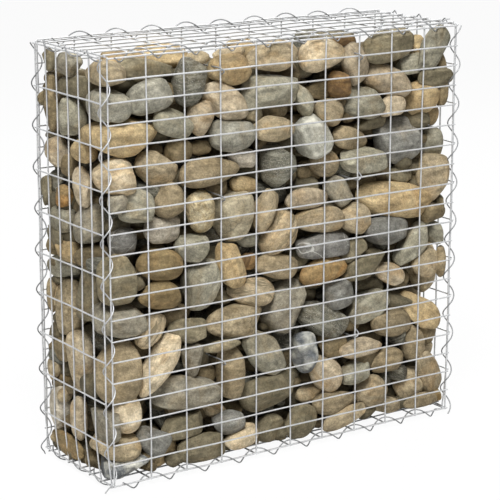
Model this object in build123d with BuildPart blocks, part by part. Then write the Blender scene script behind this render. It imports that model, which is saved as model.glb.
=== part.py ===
"""Free-standing gabion wall unit: a welded wire basket laced with coils and filled with cobbles."""

import math
import os

from build123d import *

# Driving dimensions in millimetres: the frame is at the middle of the footprint, on the ground.
basket_length = 1000.0
basket_depth = 300.0
basket_height = 1000.0
mesh_long = 100.0
mesh_short = 50.0
panel_wire = 4.0
coil_wire = 3.2
spacer_wire = 4.0

# Lacing: a coil holds the edge wires of two panels at this reach on each side of its axis.
lacing_reach = 8.2
lacing_clearance = 0.3
lacing_end_gap = 3.0
coil_segments = 6
coil_seat = 0.2
end_run_share = 0.3
bottom_coil_lean = math.radians(60)

# Panels and spacers.
wire_stub = 2.0
hook_tip = 9.0
spacer_column_shares = (0.3, 0.7)
spacer_level_shares = (0.25, 0.65, 0.95)

# Stone fill: it stays clear of the wires round it and settles below the lid.
fill_clearance = 0.3
fill_coil_gap = 1.0
fill_settle = 8.0

# A wire is a square bar with the section of the round wire.
square_share = math.sqrt(math.pi) / 2
panel_bar = panel_wire * square_share
coil_bar = coil_wire * square_share
spacer_bar = spacer_wire * square_share
half_diagonal_share = math.sqrt(2) / 2

# Mesh counts and the pitches that they leave.
bays_long = round(basket_length / mesh_long)
bays_deep = round(basket_depth / mesh_short)
bays_high = round(basket_height / mesh_long)
rows_high = bays_high * round(mesh_long / mesh_short)
column_pitch = basket_length / bays_long
depth_pitch = basket_depth / bays_deep
row_pitch = basket_height / rows_high
coil_pitch_deep = 2 * depth_pitch
coil_pitch_high = basket_height / bays_high

# Each wall stands outside the edge wires of its neighbours, one coil's width away.
half_length = basket_length / 2
half_depth = basket_depth / 2
wall_offset = lacing_reach * math.sqrt(2)
rail_offset = wall_offset + panel_bar
lid_rise = math.sqrt((2 * lacing_reach) ** 2 - rail_offset**2)
cross_rise = lid_rise - panel_bar
end_reach = math.hypot(rail_offset, cross_rise) / 2


def coil_radius(reach):
    """Corner radius of a coil that clears the wires it holds."""
    flat = reach + (panel_bar + coil_bar) * half_diagonal_share + lacing_clearance
    return flat / math.cos(math.pi / coil_segments)


def coil_outside(reach):
    """Largest distance of a coil from its axis."""
    return coil_radius(reach) + coil_bar * half_diagonal_share


# Heights: the long coils rest on the ground, and the walls stand above their axes.
long_flat = coil_radius(lacing_reach) * math.cos(math.pi / coil_segments)
long_coil_height = long_flat + coil_bar / 2 - coil_seat
wall_bottom = long_coil_height + lid_rise / 2
wall_top = wall_bottom + basket_height
wall_middle = (wall_bottom + wall_top) / 2
corner_outside = coil_outside(lacing_reach)

os.makedirs("parts", exist_ok=True)


def mesh_panel(plane, width, height, columns, rows):
    """Welded panel: columns on the inside, rows welded to their outer faces."""
    overhang = panel_bar + 2 * wire_stub
    with BuildPart() as panel:
        with BuildSketch(plane):
            with GridLocations(width / columns, 0, columns + 1, 1):
                Rectangle(panel_bar, height + overhang)
        extrude(amount=panel_bar)
        with BuildSketch(plane.offset(panel_bar)):
            with GridLocations(0, height / rows, 1, rows + 1):
                Rectangle(width + overhang, panel_bar)
        extrude(amount=panel_bar)
    return panel


def wall_plane(across, outward, distance):
    """Inner face of an upright wall at a distance from the middle."""
    inner = distance + wall_offset - panel_bar / 2
    return Plane((outward[0] * inner, outward[1] * inner, wall_middle), x_dir=across, z_dir=outward)


panels = {
    "front_panel": mesh_panel(
        wall_plane((1, 0, 0), (0, -1, 0), half_depth), basket_length, basket_height, bays_long, rows_high
    ),
    "back_panel": mesh_panel(
        wall_plane((-1, 0, 0), (0, 1, 0), half_depth), basket_length, basket_height, bays_long, rows_high
    ),
    "left_end_panel": mesh_panel(
        wall_plane((0, -1, 0), (-1, 0, 0), half_length), basket_depth, basket_height, bays_deep, bays_high
    ),
    "right_end_panel": mesh_panel(
        wall_plane((0, 1, 0), (1, 0, 0), half_length), basket_depth, basket_height, bays_deep, bays_high
    ),
    "base_panel": mesh_panel(
        Plane((0, 0, wall_bottom - cross_rise + panel_bar / 2), x_dir=(1, 0, 0), z_dir=(0, 0, -1)),
        basket_length, basket_depth, bays_long, bays_deep,
    ),
    "lid_panel": mesh_panel(
        Plane((0, 0, wall_top + cross_rise - panel_bar / 2), x_dir=(1, 0, 0), z_dir=(0, 0, 1)),
        basket_length, basket_depth, bays_long, bays_deep,
    ),
}


def lacing_coil(axis_plane, length, pitch, reach, bays, bay_pitch, middle_corner=False):
    """Coil of straight runs along the plane's normal; at a mesh wire it lies towards the plane's x."""
    radius = coil_radius(reach)
    step = pitch / coil_segments
    station = (bays % 2) * bay_pitch / 2
    shift = 0 if middle_corner else step / 2

    def corner(number):
        along = number * step + shift
        turn = 2 * math.pi * (along - station) / pitch
        return Vector(radius * math.cos(turn), radius * math.sin(turn), along)

    def on_run(along):
        number = math.floor((along - shift) / step)
        start = corner(number)
        return start + (corner(number + 1) - start) * ((along - shift) / step - number)

    low = (-length / 2 - shift) / step
    high = (length / 2 - shift) / step
    points = [corner(number) for number in range(math.ceil(low), math.floor(high) + 1)]
    if math.ceil(low) - low > end_run_share:
        points.insert(0, on_run(-length / 2))
    if high - math.floor(high) > end_run_share:
        points.append(on_run(length / 2))
    with BuildPart() as coil:
        with BuildLine() as centreline:
            Polyline(*(axis_plane.from_local_coords(point) for point in points))
        start = Plane(centreline.line @ 0, x_dir=axis_plane.x_dir, z_dir=centreline.line % 0)
        with BuildSketch(start):
            Rectangle(coil_bar, coil_bar)
        sweep(path=centreline.line, transition=Transition.RIGHT)
    return coil


coils = {}

# Corner coils run the full height and lie outwards at the rails of the end walls.
corner_length = wall_top + wall_bottom - 2 * lacing_end_gap
for side_x, end in ((-1, "left"), (1, "right")):
    for side_y, face in ((-1, "front"), (1, "back")):
        corner = (side_x * (half_length + wall_offset / 2), side_y * (half_depth + wall_offset / 2), wall_middle)
        coils[f"{face}_{end}_corner_coil"] = lacing_coil(
            Plane(corner, x_dir=(side_x, side_y, 0), z_dir=(0, 0, 1)),
            corner_length, coil_pitch_high, lacing_reach, bays_high, coil_pitch_high, middle_corner=True,
        )

# Long coils join the front and back to the lid and the base, between the corner coils.
long_length = 2 * (half_length + wall_offset / 2 - corner_outside - lacing_end_gap)
for side_y, face in ((-1, "front"), (1, "back")):
    axis_y = side_y * (half_depth + rail_offset / 2)
    coils[f"{face}_top_coil"] = lacing_coil(
        Plane((0, axis_y, wall_top + lid_rise / 2), x_dir=(0, side_y, 1), z_dir=(1, 0, 0)),
        long_length, column_pitch, lacing_reach, bays_long, column_pitch,
    )
    inward = (0, -side_y * math.cos(bottom_coil_lean), math.sin(bottom_coil_lean))
    bottom_coil = lacing_coil(
        Plane((0, axis_y, long_coil_height), x_dir=inward, z_dir=(1, 0, 0)),
        long_length, column_pitch, lacing_reach, bays_long, column_pitch, middle_corner=True,
    )
    with bottom_coil:
        split(bisect_by=Plane.XY, keep=Keep.TOP)
    coils[f"{face}_bottom_coil"] = bottom_coil

# End coils join the end walls to the lid and the base.
end_length = 2 * (half_depth + wall_offset / 2 - corner_outside - lacing_end_gap)
for side_x, end in ((-1, "left"), (1, "right")):
    axis_x = side_x * (half_length + rail_offset / 2)
    for level, up, height in (("top", 1, wall_top), ("bottom", -1, wall_bottom)):
        coils[f"{end}_{level}_coil"] = lacing_coil(
            Plane((axis_x, 0, height + up * cross_rise / 2), x_dir=(side_x, 0, up), z_dir=(0, 1, 0)),
            end_length, coil_pitch_deep, end_reach, bays_deep, depth_pitch,
        )

# Spacers: wires that tie the front to the back, hooked over a weld of each.
hook_offset = (panel_bar + spacer_bar) / 2 + lacing_clearance
hook_front = half_depth + rail_offset + panel_bar / 2 + lacing_clearance + spacer_bar * half_diagonal_share
hook_end = hook_front - hook_tip
spacer_levels = [wall_bottom + round(share * rows_high) * row_pitch for share in spacer_level_shares]
spacer_columns = [round(share * bays_long) * column_pitch - half_length for share in spacer_column_shares]


def spacer(column, level):
    """One spacer: a straight tie above the rail, over each weld and back in below it."""
    tie_x = column - hook_offset
    tie_z = level + hook_offset
    tip_x = column + hook_offset
    tip_z = level - hook_offset
    route = (
        (tip_x, -hook_end, tip_z),
        (tip_x, -hook_front, tip_z),
        (tie_x, -hook_front, tie_z),
        (tie_x, hook_front, tie_z),
        (tip_x, hook_front, tip_z),
        (tip_x, hook_end, tip_z),
    )
    with BuildPart() as tie:
        with BuildLine() as centreline:
            Polyline(*route)
        start = Plane(centreline.line @ 0, x_dir=(1, 0, 0), z_dir=centreline.line % 0)
        with BuildSketch(start):
            Rectangle(spacer_bar, spacer_bar)
        sweep(path=centreline.line, transition=Transition.RIGHT)
    return tie


spacers = {}
for number, column in enumerate(spacer_columns, 1):
    for name, level in zip(("lower", "middle", "upper"), spacer_levels):
        spacers[f"{name}_spacer_{number}"] = spacer(column, level)

# Stone fill in lifts: each lift is levelled at a row of spacers, which lie in its top.
fill_half_length = half_length + wall_offset - panel_bar / 2 - fill_clearance
fill_half_depth = half_depth + wall_offset - panel_bar / 2 - fill_clearance
fill_bottom = wall_bottom - cross_rise + panel_bar / 2
fill_top = wall_top - fill_settle
corner_inset = wall_offset / 2 - panel_bar / 2 - fill_clearance
upright_bevel = 2 * corner_inset + math.sqrt(2) * (corner_outside + fill_coil_gap)
edge_bevel = math.sqrt(2) * (corner_outside + fill_coil_gap)
channel_top = hook_offset + spacer_bar / 2 + fill_clearance
channel_width = spacer_bar + 2 * fill_clearance
lift_breaks = [fill_bottom, *(level + channel_top for level in spacer_levels), fill_top]


def stone_lift(bottom, top, has_channels):
    """One lift of the fill, bevelled where coils run and channelled for its spacers."""
    with BuildPart() as lift:
        with BuildSketch(Plane.XY.offset(fill_bottom)):
            Rectangle(2 * fill_half_length, 2 * fill_half_depth)
        extrude(amount=fill_top - fill_bottom)
        chamfer(lift.edges().filter_by(Axis.Z), upright_bevel)
        chamfer(lift.faces().sort_by(Axis.Z)[-1].edges(), edge_bevel)
        chamfer(lift.faces().sort_by(Axis.Z)[0].edges(), edge_bevel)
        split(bisect_by=Plane.XY.offset(bottom), keep=Keep.TOP)
        split(bisect_by=Plane.XY.offset(top), keep=Keep.BOTTOM)
        if has_channels:
            with BuildSketch(Plane.XY.offset(top)):
                with Locations(*((column - hook_offset, 0) for column in spacer_columns)):
                    Rectangle(channel_width, 2 * fill_half_depth)
            extrude(amount=-channel_width, mode=Mode.SUBTRACT)
    return lift


lifts = {}
lift_count = len(lift_breaks) - 1
for number in range(1, lift_count + 1):
    lifts[f"stone_lift_{number}"] = stone_lift(lift_breaks[number - 1], lift_breaks[number], number < lift_count)

for name, piece in (panels | coils | spacers | lifts).items():
    piece.part.label = name
    export_step(piece.part, f"parts/{name}.step")
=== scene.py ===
# %% [markdown]
# # A gabion wall unit
# A gabion is a wire basket packed with stones that stands as a wall by its own weight. This one is about a
# metre long and a metre tall: six welded mesh panels, laced along every edge with spiral coils, tied from
# front to back by six spacers and filled with river cobbles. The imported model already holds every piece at
# its real size, so we load it first and read all places from it. The lesson then dresses it: round wires
# instead of square bars, and over a thousand single stones instead of the plain lifts of the fill.

# %% Load the frame
import math
import random
from dataclasses import dataclass

import bmesh
import bpy
import numpy as np
from mathutils import Matrix, Vector, noise


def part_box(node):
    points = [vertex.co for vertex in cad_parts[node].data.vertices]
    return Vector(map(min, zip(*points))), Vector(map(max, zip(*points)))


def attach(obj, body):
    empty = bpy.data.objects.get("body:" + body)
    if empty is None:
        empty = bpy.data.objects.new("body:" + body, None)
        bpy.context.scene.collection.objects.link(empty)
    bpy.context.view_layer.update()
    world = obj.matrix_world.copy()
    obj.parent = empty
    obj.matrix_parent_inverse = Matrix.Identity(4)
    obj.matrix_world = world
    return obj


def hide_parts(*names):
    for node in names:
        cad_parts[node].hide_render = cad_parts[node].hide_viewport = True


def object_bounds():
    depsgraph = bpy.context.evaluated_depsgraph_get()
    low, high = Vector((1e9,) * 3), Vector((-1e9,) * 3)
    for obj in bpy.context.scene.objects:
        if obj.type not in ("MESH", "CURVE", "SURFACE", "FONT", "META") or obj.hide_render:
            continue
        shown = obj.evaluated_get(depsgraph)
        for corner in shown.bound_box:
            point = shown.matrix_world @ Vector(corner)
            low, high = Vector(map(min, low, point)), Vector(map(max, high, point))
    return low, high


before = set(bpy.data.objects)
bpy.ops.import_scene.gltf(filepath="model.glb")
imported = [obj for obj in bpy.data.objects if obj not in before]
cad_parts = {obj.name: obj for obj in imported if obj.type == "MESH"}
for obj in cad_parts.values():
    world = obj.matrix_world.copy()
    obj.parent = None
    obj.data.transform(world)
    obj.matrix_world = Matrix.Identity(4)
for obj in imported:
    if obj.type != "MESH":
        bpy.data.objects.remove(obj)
cad_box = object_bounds()
print("frame:", len(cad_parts), "nodes, size", [round(side, 3) for side in cad_box[1] - cad_box[0]])

# %% [markdown]
# ## The camera
# The picture was taken with a long lens from the front left and a little above, which keeps the mesh lines
# almost parallel. A camera can be aimed with a constraint, but plain numbers are easier to check: a place, a
# heading turned from straight ahead towards +X, and a dip below the horizon. The place matters for the stones
# too, because their outlines were read along lines of sight from here.

# %% Camera
CAMERA_PLACE = Vector((-2.599, -3.779, 1.637))
CAMERA_HEADING = math.radians(34.44)
CAMERA_DIP = math.radians(14.17)
CAMERA_LENS = 137.5

camera_data = bpy.data.cameras.new("camera")
camera_data.sensor_width = 36
camera_data.lens = CAMERA_LENS
camera = bpy.data.objects.new("camera", camera_data)
camera.location = CAMERA_PLACE
camera.rotation_euler = (math.radians(90) - CAMERA_DIP, 0, -CAMERA_HEADING)
bpy.context.scene.collection.objects.link(camera)
bpy.context.scene.camera = camera
print("camera:", round(CAMERA_PLACE.length, 2), "m from the foot of the wall")

# %% [markdown]
# ## Finishing a piece
# Every piece of this lesson ends the same way: its bmesh becomes a mesh, smooth over its round sides and
# sharp at its cut ends, it gets its materials, and it is tied to the frame. One helper does that, so that
# no piece forgets a step.

# %% Helper for finished pieces
SHARP_ANGLE = math.radians(50)


def finished_piece(name, bm, materials, nodes):
    """Make the bmesh an object of the wall that stands for these nodes."""
    mesh = bpy.data.meshes.new(name)
    bm.to_mesh(mesh)
    bm.free()
    mesh.shade_smooth()
    mesh.set_sharp_from_angle(angle=SHARP_ANGLE)
    for material in materials:
        mesh.materials.append(material)
    piece = bpy.data.objects.new(name, mesh)
    bpy.context.scene.collection.objects.link(piece)
    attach(piece, "root")
    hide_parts(*nodes)
    return piece


# %% [markdown]
# ## Node helpers
# Materials below are built from nodes. A few small helpers keep those cells short: they add a node and
# set its inputs, start a material or a node group, and do the sums and mixes that come up again and
# again.

# %% Node helpers
def add_node(tree, kind, inputs=None, **settings):
    """Add a node, set its properties, and set or link its inputs by name or number."""
    node = tree.nodes.new(kind)
    for key, value in settings.items():
        setattr(node, key, value)
    for key, value in (inputs or {}).items():
        if isinstance(value, bpy.types.NodeSocket):
            tree.links.new(value, node.inputs[key])
        else:
            node.inputs[key].default_value = value
    return node


def new_group(name, inputs, outputs):
    """A shader node group with these sockets; returns its tree, its input node and its output node."""
    tree = bpy.data.node_groups.new(name, "ShaderNodeTree")
    for direction, sockets in (("INPUT", inputs), ("OUTPUT", outputs)):
        for socket_name, kind in sockets.items():
            tree.interface.new_socket(socket_name, in_out=direction, socket_type="NodeSocket" + kind)
    return tree, tree.nodes.new("NodeGroupInput"), tree.nodes.new("NodeGroupOutput")


def new_material(name):
    """A material with nodes; returns it, its tree and its shader."""
    material = bpy.data.materials.new(name)
    material.use_nodes = True
    return material, material.node_tree, material.node_tree.nodes["Principled BSDF"]


def dress_shader(tree, shader, skin, colour, height, bump):
    """Link colour and roughness to a shader, and a height as a bump of this strength and distance."""
    inputs = {"Height": height, "Strength": bump[0], "Distance": bump[1]}
    tree.links.new(colour, shader.inputs["Base Color"])
    tree.links.new(skin.outputs["Roughness"], shader.inputs["Roughness"])
    tree.links.new(add_node(tree, "ShaderNodeBump", inputs).outputs["Normal"], shader.inputs["Normal"])


def combined(tree, operation, first, second):
    """Two values joined by a sum, a product or the like."""
    return add_node(tree, "ShaderNodeMath", {0: first, 1: second}, operation=operation).outputs[0]


def scaled_colour(tree, colour, factor):
    """A colour made lighter or darker by a factor that changes over the surface."""
    return add_node(tree, "ShaderNodeVectorMath", {0: colour, "Scale": factor}, operation="SCALE").outputs[0]


def stretched(tree, value, low, high, to_low=0.0, to_high=1.0):
    """A value stretched from one range to another and kept inside it."""
    inputs = {"Value": value, "From Min": low, "From Max": high, "To Min": to_low, "To Max": to_high}
    return add_node(tree, "ShaderNodeMapRange", inputs).outputs[0]


def mixed(tree, share, first, second):
    """Two colours mixed by a share."""
    # The node has sockets for values and vectors too: 6 and 7 take the colours, and 2 gives the mix.
    return add_node(tree, "ShaderNodeMix", {0: share, 6: first, 7: second}, data_type="RGBA").outputs[2]


# %% [markdown]
# ## Zinc
# All wires are steel dipped in zinc or drawn with a zinc coat. New zinc is bright; in the weather it
# dulls to a soft grey with a faint crystal pattern, and cloudy patches where it has begun to oxidise. A
# Voronoi texture gives the crystals and a noise the clouds. Four materials share the effect, so it is a
# node group.

# %% Zinc group and wire materials
ZINC_SPANGLE = 260.0
ZINC_CLOUDS = 14.0
# Strength and depth of the bumps.
WIRE_BUMP = (0.12, 0.0004)


def zinc_group():
    tree, given, out = new_group(
        "zinc_coat",
        {"Bright": "Color", "Dull": "Color", "Wear": "Float"},
        {"Color": "Color", "Roughness": "Float", "Height": "Float"},
    )
    place = add_node(tree, "ShaderNodeTexCoord").outputs["Object"]
    crystals = add_node(tree, "ShaderNodeTexVoronoi", {"Vector": place, "Scale": ZINC_SPANGLE})
    grey = add_node(tree, "ShaderNodeRGBToBW", {0: crystals.outputs["Color"]}).outputs[0]
    cloudy = {"Vector": place, "Scale": ZINC_CLOUDS, "Detail": 5.0, "Roughness": 0.65}
    clouds = add_node(tree, "ShaderNodeTexNoise", cloudy).outputs["Fac"]
    dulled = combined(tree, "MULTIPLY", stretched(tree, clouds, 0.35, 0.68), given.outputs["Wear"])
    coat = mixed(tree, dulled, given.outputs["Bright"], given.outputs["Dull"])
    glint = stretched(tree, grey, 0.0, 1.0, 0.88, 1.1)
    tree.links.new(scaled_colour(tree, coat, glint), out.inputs["Color"])
    tree.links.new(stretched(tree, dulled, 0.0, 1.0, 0.50, 0.68), out.inputs["Roughness"])
    tree.links.new(grey, out.inputs["Height"])
    return tree


ZINC = zinc_group()


def wire_material(name, bright, dull, wear):
    """Zinc-coated wire: a metal with crystals and cloudy patches."""
    material, tree, shader = new_material(name)
    shader.inputs["Metallic"].default_value = 0.8
    coat = add_node(tree, "ShaderNodeGroup", node_tree=ZINC)
    coat.inputs["Bright"].default_value = bright
    coat.inputs["Dull"].default_value = dull
    coat.inputs["Wear"].default_value = wear
    dress_shader(tree, shader, coat, coat.outputs["Color"], coat.outputs["Height"], WIRE_BUMP)
    return material


MESH_ZINC = wire_material("mesh_zinc", (0.57, 0.575, 0.58, 1), (0.44, 0.445, 0.45, 1), 0.8)
# The coils are of the same zinc as the mesh: this darker copy is painted shade, the next one is for the coil
# of the near corner.
PAINTED_SHADE_ZINC_OF_COILS = wire_material("coil_zinc", (0.28, 0.284, 0.288, 1), (0.165, 0.168, 0.17, 1), 0.9)
NEAR_CORNER_ZINC = wire_material("bright_coil_zinc", (0.47, 0.475, 0.48, 1), (0.34, 0.345, 0.35, 1), 0.9)
SPACER_ZINC = wire_material("spacer_zinc", (0.38, 0.385, 0.39, 1), (0.24, 0.245, 0.245, 1), 0.9)
print("wire materials:", MESH_ZINC.name, PAINTED_SHADE_ZINC_OF_COILS.name, NEAR_CORNER_ZINC.name, SPACER_ZINC.name)

# %% [markdown]
# ## Mesh panels
# A welded panel is two layers of straight wire, fused where they cross. Each wire is a cylinder with a
# ring of points every few centimetres, so that it can be bent a little: no basket comes out of the van
# quite straight. All wires are pushed by one smooth noise field, so two wires that cross move together
# and stay welded. A curve with a round bevel would do as well, but a cylinder gives clean ends and an
# exact count of faces.

# %% Wire sizes and the layout of the panels
MESH_LONG, MESH_SHORT = 0.1, 0.05
PANEL_WIRE = 0.004
WIRE_STUB = 0.002
WIRE_SIDES = 8
RING_STEP = 0.025
WELD_SIZE = 0.0027
KINK = 0.0022
KINK_RATE = 6.5
KINK_SEED = 7
X, Y, Z = 0, 1, 2

# Each panel: axis of its inner wires and their bays, axis of its outer wires and their bays.
PANELS = {
    "front_panel": (Z, 10, X, 20),
    "back_panel": (Z, 10, X, 20),
    "left_end_panel": (Z, 6, Y, 10),
    "right_end_panel": (Z, 6, Y, 10),
    "base_panel": (Y, 10, X, 6),
    "lid_panel": (Y, 10, X, 6),
}

front_low, front_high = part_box("front_panel")
wire_layer = (front_high.y - front_low.y) / 2
overhang = wire_layer / 2 + WIRE_STUB
basket_left = front_low.x + overhang
basket_right = front_high.x - overhang
wall_bottom = front_low.z + overhang
wall_top = front_high.z - overhang
wall_middle = (wall_bottom + wall_top) / 2
print("basket:", round(basket_right - basket_left, 3), "m long,", round(wall_top - wall_bottom, 3), "m tall")


# %% Wires that bend a little
noise.seed_set(KINK_SEED)


def kinked(point):
    """Where a point of a wire lies after years of handling."""
    return point + noise.noise_vector(point * KINK_RATE) * KINK


def straight_wire(bm, start, end, radius):
    """A length of wire with rings of points along it."""
    run = end - start
    place = Matrix.Translation((start + end) / 2) @ run.to_track_quat("Z", "Y").to_matrix().to_4x4()
    rod = bmesh.ops.create_cone(
        bm, cap_ends=True, segments=WIRE_SIDES, radius1=radius, radius2=radius, depth=run.length, matrix=place
    )["verts"]
    edges = dict.fromkeys(edge for vert in rod for edge in vert.link_edges)
    long_edges = [edge for edge in edges if edge.calc_length() > run.length / 2]
    bmesh.ops.subdivide_edges(bm, edges=long_edges, cuts=round(run.length / RING_STEP) - 1)


def panel_wires(node):
    """Start and end of every wire of a panel, and every weld, read from its node."""
    inner_axis, inner_bays, outer_axis, outer_bays = PANELS[node]
    thin_axis = 3 - inner_axis - outer_axis
    low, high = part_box(node)
    middle = (low[thin_axis] + high[thin_axis]) / 2
    whole_middle = (cad_box[0][thin_axis] + cad_box[1][thin_axis]) / 2
    outward = math.copysign(wire_layer / 2, middle - whole_middle)
    wires, welds = [], []
    for run, bays, spread, side in (
        (inner_axis, inner_bays, outer_axis, -1),
        (outer_axis, outer_bays, inner_axis, 1),
    ):
        first, last = low[spread] + overhang, high[spread] - overhang
        for number in range(bays + 1):
            start = Vector()
            start[thin_axis] = middle + side * outward
            start[spread] = first + (last - first) * number / bays
            end = start.copy()
            start[run], end[run] = low[run], high[run]
            wires.append((start, end))
    for inner_start, _ in wires[: inner_bays + 1]:
        for outer_start, _ in wires[inner_bays + 1 :]:
            weld = inner_start.copy()
            weld[thin_axis] = middle
            weld[inner_axis] = outer_start[inner_axis]
            welds.append(weld)
    return wires, welds


# %% [markdown]
# The foot of each end panel is drawn in under the fill, where its coil pulls it against the edge of the base.
# That is a small smooth move of the lowest bay, done after the wires are made.

# %% Make the panels
TUCK = 0.012
TUCK_HEIGHT = 0.13
TUCK_CURVE = 1.6


def tuck_in(bm):
    """Draw the foot of an end panel inwards."""
    for vert in bm.verts:
        below = max(0.0, 1 - (vert.co.z - wall_bottom) / TUCK_HEIGHT)
        vert.co.x -= math.copysign(TUCK * below**TUCK_CURVE, vert.co.x)


for node in PANELS:
    panel = bmesh.new()
    wires, welds = panel_wires(node)
    for start, end in wires:
        straight_wire(panel, start, end, PANEL_WIRE / 2)
    for weld in welds:
        bmesh.ops.create_icosphere(panel, subdivisions=1, radius=WELD_SIZE, matrix=Matrix.Translation(weld))
    if "end" in node:
        tuck_in(panel)
    for vert in panel.verts:
        vert.co = kinked(vert.co)
    made = finished_piece(node + "_wires", panel, [MESH_ZINC], [node])
    print(made.name, len(wires), "wires,", len(welds), "welds,", len(made.data.polygons), "faces")

# %% [markdown]
# ## Lacing coils
# A coil is a spring stretched so far that one turn is as long as one bay of the mesh. It is screwed along
# the edge, so that it catches the edge wires of both panels. In Blender a screw is a spin that also moves
# along its axis: one ring of points, laid square to the wire, is spun through all turns in a single
# operator. Where the wire was cut it is left as a short free tail.

# %% Coil helper
COIL_WIRE = 0.0032
COIL_PITCH = MESH_LONG
COIL_STEPS = 18
COIL_RADIUS = 0.0134
GROUND_COIL_RADIUS = 0.0125
END_COIL_RADIUS = 0.0105
TAIL = 0.005


def ring_at(bm, place, direction, radius):
    """A ring of points round a wire."""
    matrix = Matrix.Translation(place) @ direction.to_track_quat("Z", "Y").to_matrix().to_4x4()
    return bmesh.ops.create_circle(bm, segments=WIRE_SIDES, radius=radius, matrix=matrix)["verts"]


def ring_edges(verts):
    """The edges that close a ring."""
    edges = dict.fromkeys(edge for vert in verts for edge in vert.link_edges)
    return [edge for edge in edges if all(vert in verts for vert in edge.verts)]


def drawn_on(bm, verts, move):
    """Lengthen a wire from its end ring and return the new end ring."""
    geometry = bmesh.ops.extrude_edge_only(bm, edges=ring_edges(verts))["geom"]
    new_ring = [item for item in geometry if isinstance(item, bmesh.types.BMVert)]
    bmesh.ops.translate(bm, verts=new_ring, vec=move)
    return new_ring


def close_wire(bm):
    """Cap the open ends and turn all faces outwards."""
    bmesh.ops.holes_fill(bm, edges=[edge for edge in bm.edges if edge.is_boundary])
    bmesh.ops.recalc_face_normals(bm, faces=bm.faces)


def lacing_coil(middle, axis, spoke, radius, start, end, tails):
    """A right-handed coil along the axis from start to end; at every mesh wire it lies towards the spoke."""
    bm = bmesh.new()
    side = axis.cross(spoke)

    def way(along):
        turn = 2 * math.pi * along / COIL_PITCH
        out = spoke * math.cos(turn) + side * math.sin(turn)
        around = side * math.cos(turn) - spoke * math.sin(turn)
        heading = axis * COIL_PITCH + around * 2 * math.pi * radius
        return middle + axis * along + out * radius, heading.normalized()

    place, direction = way(start)
    first_ring = ring_at(bm, place, direction, COIL_WIRE / 2)
    steps = round((end - start) / COIL_PITCH * COIL_STEPS)
    spun = bmesh.ops.spin(
        bm,
        geom=first_ring + ring_edges(first_ring),
        cent=middle,
        axis=axis,
        dvec=axis * (end - start) / steps,
        angle=2 * math.pi * (end - start) / COIL_PITCH,
        steps=steps,
    )["geom_last"]
    last_ring = [item for item in spun if isinstance(item, bmesh.types.BMVert)]
    drawn_on(bm, first_ring, tails.get("start") or -direction * TAIL)
    drawn_on(bm, last_ring, tails.get("end") or way(end)[1] * TAIL)
    close_wire(bm)
    return bm


# %% Make the coils
END_MARGIN = 0.004
# How steeply the coils on the ground lie towards the mesh.
GROUND_RISE = math.radians(60)
# Corner coils stop just under the lid, and the coil at the top of the back just inside the left end.
CORNER_TRIM = 0.016
BACK_TRIM = 0.018
# The coil of the near corner has zinc nearly as bright as the mesh; the other coils get a darker copy of the
# same zinc, which is painted shade.
BRIGHT_COILS = ("front_left_corner_coil",)
# The coils at the foot of the end panels are drawn in with them.
TUCKED_COILS = ("left_bottom_coil", "right_bottom_coil")
# Free tails that stand clear of the corners, as moves from the end of the coil.
COIL_TAILS = {
    "front_bottom_coil": {"start": Vector((-0.008, -0.010, 0.001)), "end": Vector((0.020, -0.012, 0.001))},
    "back_left_corner_coil": {"start": Vector((-0.004, -0.014, -0.002))},
}


def coil_of(node):
    """Coil for a node: its axis is the middle of the node, and its spoke the side named by the node."""
    low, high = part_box(node)
    middle = (low + high) / 2
    run = max(range(3), key=lambda axis: high[axis] - low[axis])
    axis = Vector([float(number == run) for number in range(3)])
    half_run = (high[run] - low[run]) / 2 - END_MARGIN
    offset = middle[run] - (wall_middle if run == Z else 0)
    middle[run] -= offset
    outward = middle - Vector((0, 0, wall_middle))
    spoke = Vector([math.copysign(1, side) for side in outward])
    spoke[run] = 0
    on_ground = run == X and "bottom" in node
    if on_ground:
        spoke = Vector((0, -math.copysign(math.cos(GROUND_RISE), middle.y), math.sin(GROUND_RISE)))
    radius = GROUND_COIL_RADIUS if on_ground else END_COIL_RADIUS if run == Y else COIL_RADIUS
    start = offset - half_run + (BACK_TRIM if node == "back_top_coil" else 0)
    end = offset + half_run - (CORNER_TRIM if run == Z else 0)
    return lacing_coil(middle, axis, spoke.normalized(), radius, start, end, COIL_TAILS.get(node, {}))


for node in sorted(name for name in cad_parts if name.endswith("_coil")):
    coil = coil_of(node)
    if node in TUCKED_COILS:
        tuck_in(coil)
    for vert in coil.verts:
        vert.co = kinked(vert.co)
    sunk = cad_box[0].z - min(vert.co.z for vert in coil.verts)
    if sunk > 0:
        bmesh.ops.translate(coil, verts=coil.verts, vec=Vector((0, 0, sunk)))
    # All coils but the near corner's take the darker zinc, painted shade.
    zinc = NEAR_CORNER_ZINC if node in BRIGHT_COILS else PAINTED_SHADE_ZINC_OF_COILS
    made = finished_piece(node + "_wire", coil, [zinc], [node])
    print(made.name, len(made.data.polygons), "faces")

# %% [markdown]
# ## Spacers
# Six wires run from the front to the back and keep the two faces from bulging. Each is hooked over a weld: it
# comes out above the rail on one side of the upright, crosses over, and goes back in below the rail on the
# other side. Two of them were hooked on from below, so their tips point up. A ring is extruded from point to
# point, which is how the wire would be bent in a jig.

# %% Make the spacers
SPACER_WIRE = 0.0036
HOOKED_FROM_BELOW = ("middle_spacer_2", "lower_spacer_2")
# Front half of the wire from its tip: aside, depth from the outermost wire, and height over the weld.
HOOK_POINTS = [
    (0.0062, 0.016, -0.0125),
    (0.0056, 0.007, -0.0085),
    (0.0048, 0.001, -0.0056),
    (0.0028, -0.0018, -0.0026),
    (-0.0005, -0.0024, 0.0010),
    (-0.0032, -0.0010, 0.0036),
    (-0.0046, 0.0040, 0.0050),
    (-0.0052, 0.0150, 0.0056),
    (-0.0054, 0.0600, 0.0050),
]


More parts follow.
